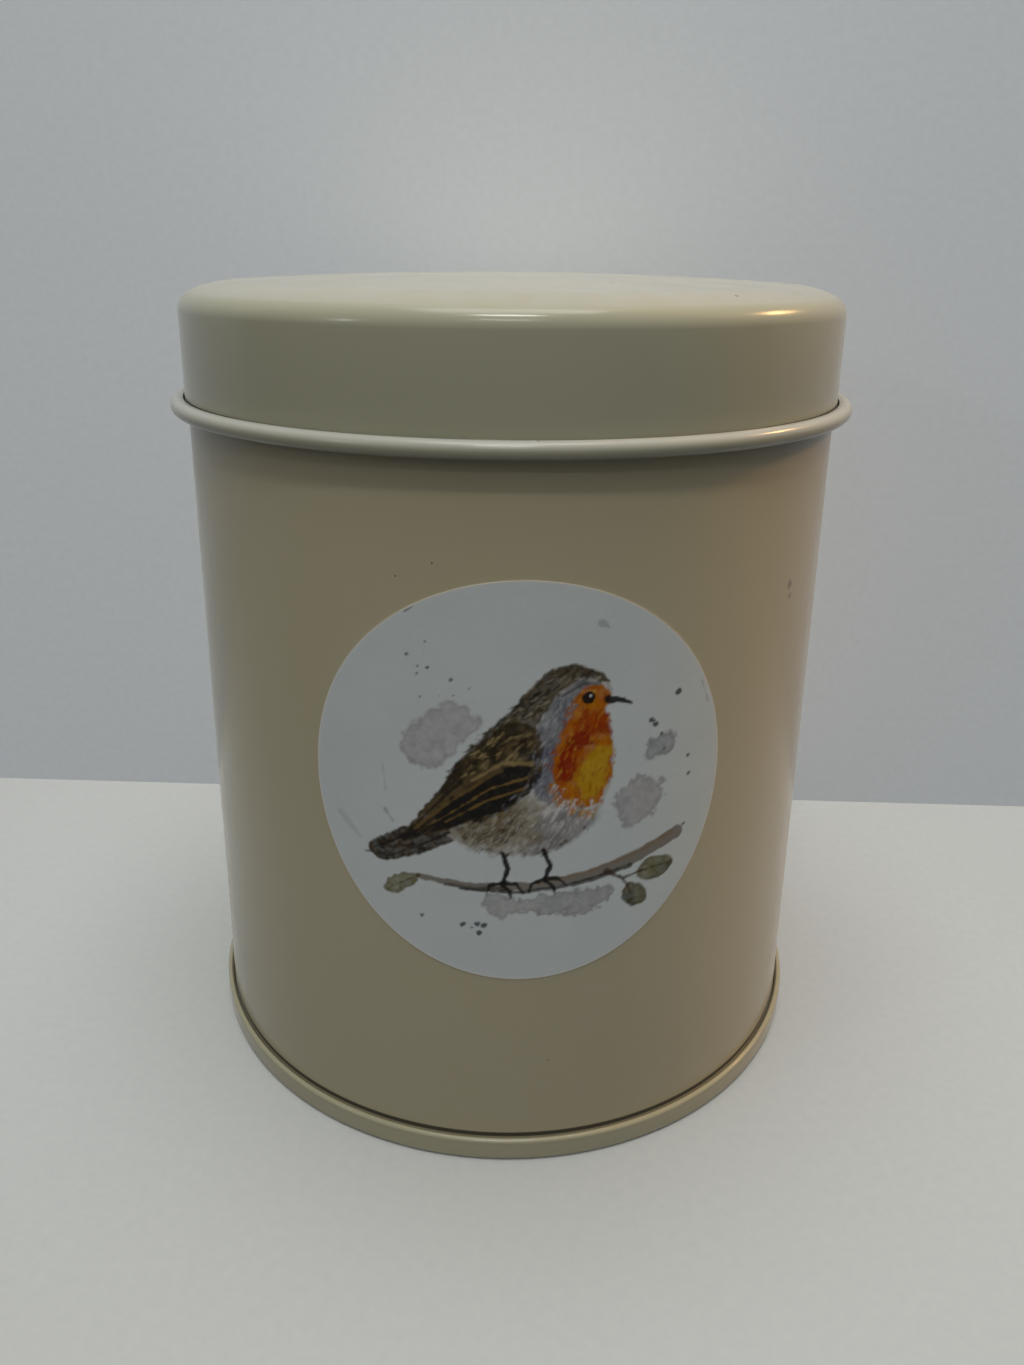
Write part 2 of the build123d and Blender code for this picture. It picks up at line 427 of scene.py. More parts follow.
def makeBody():
    mouth = bodyHigh.z
    hookInner = wallRadius + body["crevice"] + sheet + body["layerGap"]
    turnRadius = (hookInner - wallRadius) / 2
    turnHeight = turnRadius + 2 * sheet + body["layerGap"]
    curlHeight = mouth - body["curl"]
    piece = startProfile("bodyRolled", hookInner, turnHeight + body["hook"])
    drawLine((hookInner, turnHeight + body["hook"]), (hookInner, turnHeight), 2)
    drawArc((wallRadius + turnRadius, turnHeight), -180, 10)
    drawLine((wallRadius, turnHeight), (wallRadius, curlHeight), 40)
    drawArc((wallRadius - body["curl"], curlHeight), body["curlTurn"], 26)
    # the profile goes to one side of the seam, round the front, and then in fine columns across the seam
    bpy.ops.mesh.select_all(action="SELECT")
    seamAt = math.degrees(math.pi / 2 + body["seamWidth"] / 2 / wallRadius)
    bpy.ops.transform.rotate(value=-math.radians(seamAt + body["seamDegrees"] / 2), orient_axis="Z",
                             center_override=(0, 0, 0))
    turnRound(360 - body["seamDegrees"], turns - 4)
    turnRound(body["seamDegrees"], body["seamColumns"])
    closeShell()
    pressSideSeam(piece)
    thicken(piece)
    addFold(piece)
    smooth(piece)
    return piece


def pressSideSeam(piece):
    # the lapped edge shows outside as a narrow groove, one seam's half width to the side of the back
    places = points(piece)
    angle = np.arctan2(places[:, 1], places[:, 0]) - math.pi / 2 - body["seamWidth"] / 2 / wallRadius
    radius = np.hypot(places[:, 0], places[:, 1])
    across = np.clip(1 - np.abs(angle) * wallRadius / (body["grooveWidth"] / 2), 0, 1)
    low, high = baseHigh.z + body["seamLow"], bodyHigh.z - body["seamHigh"]
    fromLow, fromHigh = (places[:, 2] - low) / body["grooveFade"], (high - places[:, 2]) / body["grooveFade"]
    along = np.clip(fromLow, 0, 1) * np.clip(fromHigh, 0, 1)
    outer = radius > wallRadius - 0.01 * mm
    depth = np.where(outer, body["grooveDepth"] * across * along, 0)
    places[:, :2] *= ((radius - depth) / np.maximum(radius, 1e-9))[:, None]
    setPoints(piece, places)


def addFold(piece):
    # the two hooked edges, pressed flat against the inside of the wall
    low, high = base["seamHeight"] + body["seamLow"], bodyHigh.z - body["seamHigh"]
    thick = 2 * sheet
    out = wallRadius - sheet - thick / 2 + body["foldSunk"]
    deselectAll()
    bpy.ops.mesh.primitive_cube_add(size=1, location=(0, out, (low + high) / 2),
                                    scale=(body["seamWidth"], thick, high - low))
    fold = bpy.context.object
    bpy.ops.object.transform_apply(location=True, rotation=True, scale=True)
    bpy.ops.object.mode_set(mode="EDIT")
    bpy.ops.mesh.select_all(action="SELECT")
    bpy.ops.mesh.bevel(offset=body["foldEdge"], segments=3, affect="EDGES")
    bpy.ops.mesh.select_all(action="SELECT")
    # cut in upright strips, so that it can follow the wall's curve
    for place in np.linspace(-0.4, 0.4, 9) * body["seamWidth"]:
        bpy.ops.mesh.bisect(plane_co=(place, 0, 0), plane_no=(1, 0, 0))
        bpy.ops.mesh.select_all(action="SELECT")
    objectMode()
    places = points(fold)
    angle = places[:, 0] / wallRadius
    places = np.stack([places[:, 1] * np.sin(angle), places[:, 1] * np.cos(angle), places[:, 2]], 1)
    setPoints(fold, places)
    onlySelect(piece)
    fold.select_set(True)
    bpy.ops.object.join()


# base panel

base = {
    "seamHeight": 3.5 * mm,      # double seam
    "edge": 0.6 * mm,            # rounding of the seam's bottom edges
    "hook": 1.9 * mm,
    "panelHeight": 3.3 * mm,
    "panelCorner": 1.0 * mm,
    "ringRadius": 38.0 * mm,     # pressed expansion ring
    "ringWidth": 4.0 * mm,
    "ringDepth": 0.8 * mm,
}


def makeBase():
    seamOuter = baseHigh.x
    hookInner = wallRadius + body["crevice"]
    chuck = wallRadius - 2 * sheet - body["layerGap"]
    foldRadius = (seamOuter - hookInner) / 2
    foldHeight = base["seamHeight"] - foldRadius
    edge, panel = base["edge"], base["panelHeight"]
    ringIn, ringOut = base["ringRadius"] - base["ringWidth"] / 2, base["ringRadius"] + base["ringWidth"] / 2
    slope = 2 * math.atan(2 * base["ringDepth"] / base["ringWidth"])
    curve = base["ringWidth"] / 4 / math.sin(slope)
    slope = math.degrees(slope)
    piece = startProfile("basePressed", 0, panel)
    drawLine((0, panel), (ringIn, panel), 6)
    drawArc((ringIn, panel - curve), -slope, 6)
    drawArc((base["ringRadius"], panel - base["ringDepth"] + curve), 2 * slope, 10)
    drawArc((ringOut, panel - curve), -slope, 6)
    drawLine((ringOut, panel), (chuck - base["panelCorner"], panel), 3)
    drawArc((chuck - base["panelCorner"], panel - base["panelCorner"]), -90, 8)
    drawLine((chuck, panel - base["panelCorner"]), (chuck, edge), 2)
    drawArc((chuck + edge, edge), 90, 8)
    drawLine((chuck + edge, 0), (seamOuter - edge, 0), 1)
    drawArc((seamOuter - edge, edge), 90, 8)
    drawLine((seamOuter, edge), (seamOuter, foldHeight), 4)
    drawArc((seamOuter - foldRadius, foldHeight), 180, 14)
    drawLine((hookInner, foldHeight), (hookInner, foldHeight - base["hook"]), 2)
    bpy.ops.mesh.select_all(action="SELECT")
    turnRound(360, turns)
    closeShell()
    thicken(piece)
    smooth(piece)
    return piece


# picture label

label = {
    "cells": 280,                # squares across the disc, fine enough to carry the painting
    "backRings": 8,
    "paperWhite": "#e5edeb",
    "cutEdge": "#f2f1ea",
    "edgeAt": 28.4,              # where the bare cut edge begins, in millimetres from the middle
    "edgeFade": 0.25,
}


def makeLabel():
    radius = (labelHigh.z - labelLow.z) / 2
    centre = (labelHigh.z + labelLow.z) / 2
    deselectAll()
    bpy.ops.mesh.primitive_grid_add(x_subdivisions=label["cells"], y_subdivisions=label["cells"], size=2)
    piece = bpy.context.object
    piece.name = "labelPaper"
    flat = points(piece)
    # the square sheet of cells becomes a disc
    x, y = flat[:, 0].copy(), flat[:, 1].copy()
    flat[:, 0] = x * np.sqrt(1 - y * y / 2) * radius
    flat[:, 1] = y * np.sqrt(1 - x * x / 2) * radius
    setPoints(piece, flat)
    # the cut edge goes back to the wall, and rings close the back
    bpy.ops.object.mode_set(mode="EDIT")
    bpy.ops.mesh.select_all(action="SELECT")
    bpy.ops.mesh.region_to_loop()
    bpy.ops.mesh.extrude_region_move(TRANSFORM_OT_translate={"value": (0, 0, -labelPaper)})
    for ring in range(label["backRings"] - 1, 0, -1):
        bpy.ops.mesh.extrude_region_move(TRANSFORM_OT_translate={"value": (0, 0, 0)})
        shrink = ring / (ring + 1)
        bpy.ops.transform.resize(value=(shrink, shrink, 1), center_override=(0, 0, -labelPaper))
    bpy.ops.mesh.extrude_region_move(TRANSFORM_OT_translate={"value": (0, 0, 0)})
    bpy.ops.mesh.merge(type="CENTER")
    bpy.ops.mesh.select_all(action="SELECT")
    bpy.ops.mesh.normals_make_consistent(inside=False)
    objectMode()
    flat = points(piece)
    paint(piece, flat[:, 0] / mm, flat[:, 1] / mm)
    # wrapped on the wall without stretching
    angle = flat[:, 0] / wallRadius
    out = wallRadius + labelPaper + flat[:, 2]
    setPoints(piece, np.stack([out * np.sin(angle), -out * np.cos(angle), flat[:, 1] + centre], 1))
    smooth(piece)
    return piece


# the picture: a small garden bird on a leafy twig in loose watercolour, in millimetres from the label's middle
picture = {
    "seed": 11,
    "depth": 1.55,               # how strongly the pigments are laid, as a power on their colours
    "granulation": 0.16,         # how much the paper's tooth breaks up a wash
    "dryBrush": 0.12,            # how ragged a stroke's edge is, in millimetres
    "rimAt": 0.3,                # a wash's dark drying line, inside its edge, and its width
    "rimWidth": 0.25,
    # outline, two pigments, strength, soft edge, ragged edge, darker drying edge
    "washes": [
        ([(-15.6, 5.4), (-13.4, 9.6), (-9, 12.4), (-5.6, 10.2), (-8.2, 5.8), (-12, 2.6)],
         "#b9abb0", "#cbc1c2", 0.5, 0.8, 1.1, 0.16),
        ([(12.8, -1), (16, 1.4), (19.4, -0.6), (18.6, -4.4), (15, -6.6), (12.6, -4.6)],
         "#b1a6ac", "#c6bcbc", 0.5, 0.7, 1.2, 0.18),
        ([(-4.4, -15.2), (2, -15.6), (9.6, -14.8), (12.4, -16), (8.4, -18.6), (1.8, -18), (-3, -18.8)],
         "#aaa3a4", "#bbb3b0", 0.5, 0.5, 1.3, 0.18),
        ([(16.8, 3), (20.6, 4.4), (20, 6.8), (17, 6)], "#96989f", "#adadb1", 0.5, 0.5, 0.8, 0.2),
        # leaves
        ([(16.2, -13.8), (17.6, -11.8), (20.2, -11.6), (21.8, -13), (20.2, -14.8), (17.8, -15)],
         "#7d7a4c", "#97925f", 0.85, 0.3, 0.4, 0.2),
        ([(14.8, -14.8), (17.2, -16), (17.8, -18.2), (15.8, -18.8), (14.2, -17)],
         "#8d8455", "#6c6a3e", 0.85, 0.3, 0.4, 0.2),
        ([(-13.4, -13.2), (-15.6, -13), (-18, -14.6), (-18.4, -16.4), (-15.8, -16)],
         "#837c4e", "#a39b6b", 0.8, 0.3, 0.4, 0.2),
    ],
    "bird": [
        # tail
        ([(-9.6, -3), (-13.2, -5), (-17.2, -7), (-20.6, -9.4), (-20.4, -10.8), (-18.6, -11.8), (-15.4, -10.8),
          (-11.8, -9), (-8.4, -7)],
         "#4c3c22", "#6d5a3c", 0.93, 0.35, 0.35, 0.2),
        # whole body, nearly white
        ([(11.3, 13.4), (9.8, 16.2), (6.7, 17.5), (3.3, 16.7), (0.7, 14.2), (-1.6, 11.2), (-4.6, 8.2),
          (-8, 4.2), (-10.6, -0.4), (-11.2, -4.2), (-9.4, -6.8), (-5.6, -8.4), (-0.6, -9.2), (4.2, -8.5),
          (8.4, -5.8), (11.1, -1.2), (12, 4), (11.4, 8.2), (10.6, 10.8)],
         "#e6e5e2", "#d6d4d0", 0.95, 0.45, 0.3, 0.1),
        # grey under the breast, olive on the flank
        ([(10, -3), (6, -2.8), (2.4, -3.6), (0.8, -6.4), (2, -9), (5.6, -7.8), (8.6, -5.6)],
         "#8c8a90", "#a9a7ab", 0.55, 1.3, 0.9, 0.1),
        ([(2.4, -0.8), (-1.6, -1.6), (-6, -3.8), (-9.8, -5.8), (-6.8, -7.8), (-1.4, -8.8), (2.6, -7.2)],
         "#a3987c", "#bcb299", 0.65, 1.9, 1.2, 0.0),
        ([(-0.6, -2), (-4.6, -3.6), (-8.6, -5.6), (-5.4, -7.4), (-1, -6.4)],
         "#857650", "#a0926c", 0.7, 1.5, 1.2, 0.0),
        # blue-grey side of the neck and breast
        ([(9, 15.2), (6.2, 15), (3.4, 12.2), (1.4, 8.6), (0.8, 4), (1.4, 0), (4, -1.6), (5.6, -0.6), (4.4, 3),
          (5, 7), (5.8, 10), (6.8, 13)],
         "#8f939c", "#b0b1b4", 0.85, 0.7, 0.6, 0.05),
        ([(2.8, 6.4), (4.4, 5.4), (4.2, 1.4), (2.4, 0.6), (1.8, 3.4)],
         "#7e88a2", "#9a9ea9", 0.5, 0.9, 0.8, 0.0),
        # cap, nape and back
        ([(10.8, 15), (9, 16.7), (6.6, 17.5), (3.2, 16.8), (0.6, 14.3), (-1.8, 11.3), (-4.8, 8.2), (-8.2, 4),
          (-10.8, -0.6), (-11.2, -4.2), (-8.4, -3), (-4.2, 1), (0.6, 6), (2.2, 10), (4.4, 13.6), (7.6, 15.4)],
         "#5f5236", "#8c8269", 0.92, 0.35, 0.5, 0.15),
        # face, throat and breast
        ([(11.2, 13.2), (10, 14.6), (8, 14.4), (6.4, 12.8), (5.8, 10), (4.4, 7), (3.8, 3.6), (4.6, 0.4),
          (6.4, -1.8), (8.8, -2.6), (10.8, -0.8), (11.8, 4), (11.2, 8.2), (10.6, 10.8)],
         "#d48b12", "#dc9c22", 0.98, 0.35, 0.4, 0.1),
        ([(10.9, 10.6), (8.4, 11.4), (6.6, 9.4), (7.6, 7.6), (9.8, 8.2), (11.2, 7.6)],
         "#bd5c0a", "#cc7410", 0.85, 0.5, 0.7, 0.05),
        ([(8, 8.2), (6.2, 7.6), (4.8, 4.8), (5.2, 1.4), (6.8, 2.4), (7, 5.2), (9, 6.6)],
         "#a83004", "#bd4a06", 0.9, 0.5, 0.8, 0.08),
        ([(11.4, 5.8), (9.2, 6), (7.6, 3.6), (7.4, 0.4), (9, -1.4), (10.9, 0.4)],
         "#dcb82e", "#e4c650", 0.88, 0.8, 0.9, 0.0),
        # folded wing, dark feathers over brown
        ([(1.6, 9.2), (-1.8, 9.8), (-5.4, 6.8), (-9.2, 2.2), (-12.6, -2.8), (-16, -8), (-12.2, -6.8),
          (-7.2, -4.8), (-2, -2.4), (1.8, 1.4), (2.6, 5.6)],
         "#55482f", "#8c7d60", 0.95, 0.35, 0.45, 0.2),
        ([(1, 3.4), (-3, 3), (-7.6, -0.4), (-11.4, -4), (-15.6, -7.8), (-11.8, -6.4), (-7, -4.4), (-1.8, -2)],
         "#14110e", "#211b14", 0.95, 0.4, 0.6, 0.1),
    ],
    # where short feather strokes go: outline, how many, lean in degrees, length, width, tints, strength
    "feathers": [
        ([(9.6, -2.8), (4.4, -1.6), (-1, -2.6), (-7.4, -5.6), (-5, -8), (0, -8.8), (6, -7.6)],
         230, -128, 1.3, 0.12, ["#6f675c", "#8b8478", "#f2f0ec", "#b5aca0", "#f4f2ee"], 0.4),
        ([(9.4, -1.8), (5.4, -1.2), (2.4, -2.4), (2.4, -5.4), (6.6, -5.6), (9.4, -4)],
         100, -118, 1.5, 0.14, ["#f6f5f2", "#f6f5f2", "#b5b3b6"], 0.5),
        ([(1, -2), (-3.4, -3.4), (-8.4, -5.8), (-4.6, -7.6), (0, -6.6)],
         150, -134, 1.2, 0.12, ["#4e4330", "#6d5e44", "#c7bda6"], 0.45),
        ([(7.4, 14.2), (3.4, 12), (1.2, 6), (1.6, 0.6), (4.2, -1), (4, 3.6), (5.6, 9.4)],
         130, -112, 1.2, 0.12, ["#5c6172", "#d3d5da", "#73788a", "#eaeaea"], 0.4),
        ([(10, 15.6), (6.6, 17.2), (3.2, 16.4), (0, 13), (-3.8, 9.4), (-0.6, 9.8), (2.4, 11.2), (5, 14.4)],
         170, -142, 1.1, 0.13, ["#1f1b12", "#9d947f", "#362f1f", "#c9c3b4"], 0.6),
        ([(10.8, 13.8), (7.4, 13.6), (5.4, 8), (4.4, 2.6), (7, -1.6), (10.6, -0.8), (11.4, 6), (10.4, 10.4)],
         180, -106, 1.2, 0.11, ["#ecc95e", "#c46a10", "#e2b03a", "#a85608"], 0.45),
        ([(1.4, 8.8), (-2, 9.2), (-6.2, 5.2), (-7.4, 1.6), (-3, 4), (1.8, 4.4)],
         100, -136, 1.1, 0.17, ["#1a150f", "#b3a382", "#4a3c22", "#c8b993"], 0.75),
        ([(-10, -3.4), (-13, -5.4), (-20, -9.8), (-18.6, -11.2), (-12.4, -8.6), (-9, -6.4)],
         44, -150, 1.6, 0.12, ["#1d1712", "#8f7f6c", "#2c241c"], 0.6),
    ],
    # short strokes across an edge, so that it looks like plumage
    "fringes": [
        ([(3.8, 1), (5.2, -1.2), (7, -2.6), (9, -3), (10.6, -1.4), (9, -1.6), (6.6, -1), (5, 0.6)],
         90, -108, 1.1, 0.12, ["#d48b12", "#f4f2ee", "#dc9c22", "#dcb82e"], 0.8),
        ([(5.4, 10), (4.2, 7), (3.6, 3.6), (4.2, 5), (5, 8)], 40, -120, 0.9, 0.12, ["#bd5c0a", "#9fa2aa"], 0.7),
        ([(8.2, 14.6), (6.6, 13.2), (5.8, 11), (7, 12.6)], 26, -130, 0.8, 0.12, ["#d48b12", "#9fa2aa"], 0.7),
        ([(12, 4), (11.4, 8), (10.8, 10.4), (11.2, 7), (11.4, 2)],
         26, -82, 0.7, 0.1, ["#d48b12", "#dcb82e"], 0.8),
        ([(2.4, 5), (1.6, 1.4), (-2, -2.2), (-6, -4.2), (-1.4, -1), (1.6, 2.4)],
         60, -124, 1.1, 0.13, ["#1c1813", "#b0b1b4", "#1c1813"], 0.75),
        ([(8.6, -5.6), (4.2, -8.4), (-0.6, -9), (-5.4, -8.2), (0, -8.6), (5, -7.6)],
         60, -138, 0.9, 0.1, ["#8b8478", "#6f675c"], 0.5),
        ([(-1.8, 11.2), (-4.8, 8.2), (-8.2, 4), (-10.8, -0.6), (-7.6, 4.6), (-4.2, 8.6)],
         40, -140, 0.9, 0.11, ["#4a3f29", "#6d6148"], 0.7),
    ],
    # points along a stroke, its width at both ends, pigment, strength
    "strokes": [
        # wing bars and long feather edges
        ([(1.2, 4.2), (-2.6, 4.2), (-6.4, 1.6)], 0.32, 0.16, "#c6b48c", 0.7),
        ([(0.6, 2.2), (-4, 0.6), (-9.6, -3.6), (-13.6, -6.6)], 0.14, 0.1, "#b29b6c", 0.75),
        ([(0.2, 0.6), (-4.6, -1.2), (-9.8, -4.6)], 0.14, 0.1, "#b29b6c", 0.7),
        ([(-4.2, 2.2), (-9, -1.4), (-14, -6.2)], 0.14, 0.1, "#a48d60", 0.7),
        ([(-7.8, 1.4), (-11.6, -2.8), (-15, -6.8)], 0.22, 0.14, "#241d14", 0.8),
        ([(-10.2, -4.6), (-15, -7.2), (-19.8, -10)], 0.2, 0.16, "#1d1712", 0.8),
        ([(-9.4, -6.2), (-14, -9), (-18.4, -11.2)], 0.18, 0.12, "#2b221a", 0.8),
        ([(9.6, 14.9), (7.4, 14.9), (5, 13.4)], 0.3, 0.16, "#4a4334", 0.6),
        # twig
        ([(22, -8.6), (16, -11), (9, -12.8), (1, -13.9), (-7, -14), (-13.6, -13.2)], 1.0, 0.4, "#8b7558", 0.75),
        ([(21, -8.4), (15.6, -10.4), (9, -12.2), (2, -13.4)], 0.42, 0.25, "#b3a48c", 0.6),
        ([(15, -12.2), (8, -13.8), (0, -14.7), (-8, -14.5)], 0.35, 0.2, "#3d2c1b", 0.8),
        ([(-2, -14.2), (-6, -14.4), (-10, -14)], 0.4, 0.25, "#4a3722", 0.6),
        ([(11.6, -12.4), (14, -14), (16.8, -13.4)], 0.34, 0.16, "#6e5a40", 0.8),
        ([(13.6, -13.6), (14.8, -15.2), (15.6, -17.2)], 0.26, 0.1, "#6e5a40", 0.8),
        ([(16.8, -13.4), (18.8, -13.2), (21, -13.1)], 0.12, 0.06, "#5d5a34", 0.7),
        ([(-13.6, -13.2), (-15.6, -14.4), (-18, -16)], 0.12, 0.06, "#5d5a34", 0.7),
        # legs and toes
        ([(3, -8.4), (3.9, -10.8), (3.2, -13)], 0.28, 0.34, "#241b15", 0.97),
        ([(-2.4, -8.8), (-1.6, -11.2), (-2.4, -13.5)], 0.28, 0.34, "#241b15", 0.97),
        ([(3.2, -12.8), (5, -12.8), (6.2, -14)], 0.38, 0.16, "#241b15", 0.95),
        ([(3.2, -13), (4.4, -14), (4.7, -15.2)], 0.34, 0.14, "#241b15", 0.95),
        ([(3.2, -12.8), (1.6, -13.4), (1.2, -14.6)], 0.34, 0.14, "#241b15", 0.95),
        ([(-2.4, -13.3), (-0.6, -13.5), (0.4, -14.8)], 0.38, 0.16, "#241b15", 0.95),
        ([(-2.4, -13.4), (-1.4, -14.6), (-1.2, -15.6)], 0.34, 0.14, "#241b15", 0.95),
        ([(-2.4, -13.3), (-4, -13.8), (-4.4, -15)], 0.34, 0.14, "#241b15", 0.95),
        # beak, eye and the light round it
        ([(10.9, 12.5), (12.6, 12.3), (14.1, 11.6)], 0.6, 0.1, "#24211f", 0.97),
        ([(11.2, 12.8), (13, 12.5)], 0.12, 0.06, "#77736e", 0.8),
        ([(7.4, 13.9), (9.2, 13.8)], 0.2, 0.14, "#f0c98a", 0.5),
        ([(8.2, 12.9), (8.3, 12.9)], 0.86, 0.86, "#100e0c", 0.99),
    ],
    "eyeLight": ((8.5, 13.2), 0.2),
    "glintWhite": 0.75,
    # middle, spread, count, largest drop
    "splashes": [
        ((-10.6, 16), (2.6, 2.2), 10, 0.24),
        ((18, 9), (1.8, 2.2), 6, 0.4),
        ((-6, -20), (3.2, 0.9), 6, 0.42),
        ((22, -2), (0.9, 3), 3, 0.3),
    ],
    "splashColours": ["#2f3038", "#3c465e", "#45424a"],
    # handling marks on the paper
    "smudges": [
        ([(-14.8, 24.2), (-13.2, 25.4)], 0.35, 0.2, "#6b604a", 0.7),
        ([(9.6, 22.8), (10.6, 22.2)], 0.5, 0.2, "#8d9094", 0.35),
        ([(-18.4, 3), (-18, -1)], 0.12, 0.08, "#9b9ea2", 0.35),
        ([(-18.2, -4), (-17, -5.6)], 0.25, 0.1, "#8d9094", 0.4),
        ([(24.6, 13), (26, 9.6)], 0.12, 0.08, "#9b9ea2", 0.3),
        ([(-25, -6), (-22, -9)], 0.5, 0.3, "#a9abae", 0.2),
    ],
}


def patches(x, y, size, seed):
    # a smooth random pattern from -1 to 1, with patches about this many millimetres wide
    cells = 128
    grid = np.random.default_rng(seed).uniform(-1, 1, (cells, cells))
    u, v = x / size + cells / 2, y / size + cells / 2
    i, j = np.floor(u).astype(int), np.floor(v).astype(int)
    nextI, nextJ = (i + 1) % cells, (j + 1) % cells
    fu, fv = u - i, v - j
    fu, fv = fu * fu * (3 - 2 * fu), fv * fv * (3 - 2 * fv)
    i, j = i % cells, j % cells
    return ((grid[i, j] * (1 - fu) + grid[nextI, j] * fu) * (1 - fv)
            + (grid[i, nextJ] * (1 - fu) + grid[nextI, nextJ] * fu) * fv)


def fade(value, start, end):
    step = np.clip((value - start) / (end - start), 0, 1)
    return step * step * (3 - 2 * step)


def softOutline(corners, pieces=5):
    # a smooth closed curve through the corners
    p = np.array(corners, float)
    before, after, later = np.roll(p, 1, 0), np.roll(p, -1, 0), np.roll(p, -2, 0)
    t = (np.arange(pieces) / pieces)[None, :, None]
    p, before, after, later = p[:, None], before[:, None], after[:, None], later[:, None]
    curve = p + 0.5 * t * (after - before + t * (2 * before - 5 * p + 4 * after - later
                                                 + t * (3 * (p - after) + later - before)))
    return curve.reshape(-1, 2)


def depthInside(x, y, outline):
    # distance to the outline in millimetres, above zero inside it
    nearest, crossings = np.full(len(x), 1e9), np.zeros(len(x), int)
    for (ax, ay), (bx, by) in zip(outline, np.roll(outline, -1, 0)):
        dx, dy = bx - ax, by - ay
        along = np.clip(((x - ax) * dx + (y - ay) * dy) / (dx * dx + dy * dy + 1e-12), 0, 1)
        nearest = np.minimum(nearest, np.hypot(x - ax - along * dx, y - ay - along * dy))
        if ay != by:
            crossings += ((ay > y) != (by > y)) & (x < ax + (y - ay) * dx / dy)
    return np.where(crossings % 2 == 1, nearest, -nearest)


def near(x, y, low, high, room):
    # numbers of the points in a box round a shape, so that each shape is worked out only where it is
    inX = (x > low[0] - room) & (x < high[0] + room)
    inY = (y > low[1] - room) & (y < high[1] + room)
    return np.nonzero(inX & inY)[0]


def pigmentOf(code):
    return np.array(fromHex(code)[:3]) ** picture["depth"]


def layWash(colour, x, y, wash, seed, granulation):
    # transparent pigment in a ragged shape, darker along its drying edge
    corners, first, second, strength, soft, ragged, drying = wash
    outline = softOutline(corners)
    here = near(x, y, outline.min(0), outline.max(0), 1.5)
    u, v = x[here], y[here]
    depth = depthInside(u, v, outline)
    depth += ragged * (patches(u, v, 1.3, seed) * 0.45 + patches(u, v, 0.5, seed + 1) * 0.35)
    mask = fade(depth, -soft / 2, soft / 2)
    rim = np.exp(-((depth - picture["rimAt"]) / picture["rimWidth"]) ** 2) * drying
    blend = fade(patches(u, v, 1.7, seed + 2) + 0.5 * patches(u, v, 0.6, seed + 3), -0.6, 0.6)[:, None]
    pigment = pigmentOf(first) * (1 - blend) + pigmentOf(second) * blend
    amount = np.clip(mask * (strength + granulation[here] * picture["granulation"]), 0, 1)[:, None]
    colour[here] = (colour[here] * (1 - amount) + pigment * amount) * (1 - rim * mask)[:, None]


def layStroke(colour, x, y, stroke, roughness):
    # a brush line through the points, its width changing from one end to the other
    path, startWidth, endWidth, code, strength = stroke
    ends = np.array(path)
    here = near(x, y, ends.min(0), ends.max(0), max(startWidth, endWidth) + 0.5)
    u, v = x[here], y[here]
    nearest = np.full(len(here), 9.0)
    legs = len(path) - 1
    for leg in range(legs):
        (ax, ay), (bx, by) = path[leg], path[leg + 1]
        dx, dy = bx - ax, by - ay
        along = np.clip(((u - ax) * dx + (v - ay) * dy) / (dx * dx + dy * dy + 1e-12), 0, 1)
        width = startWidth + (endWidth - startWidth) * (leg + along) / legs
        nearest = np.minimum(nearest, np.hypot(u - ax - along * dx, v - ay - along * dy) - width)
    ragged = picture["dryBrush"]
    nearest = nearest + roughness[here] * ragged
    amount = (strength * (1 - fade(nearest, -ragged, ragged)))[:, None]
    colour[here] = colour[here] * (1 - amount) + pigmentOf(code) * amount


def layTuft(colour, x, y, start, tuft, spread, taper, chance, roughness):
    # one short feather stroke from a point, with its lean, length, pigment and strength drawn at random
    lean, length, width, tints, strength = tuft
    turn = math.radians(lean + chance.normal(0, spread[0]))
    reach = length * chance.uniform(spread[1], 1.2)
    end = (start[0] + reach * math.cos(turn), start[1] + reach * math.sin(turn))
    tint = tints[chance.integers(len(tints))]
    amount = strength * chance.uniform(0.6, 1.1)
    layStroke(colour, x, y, ([tuple(start), end], width, width * taper, tint, amount), roughness)


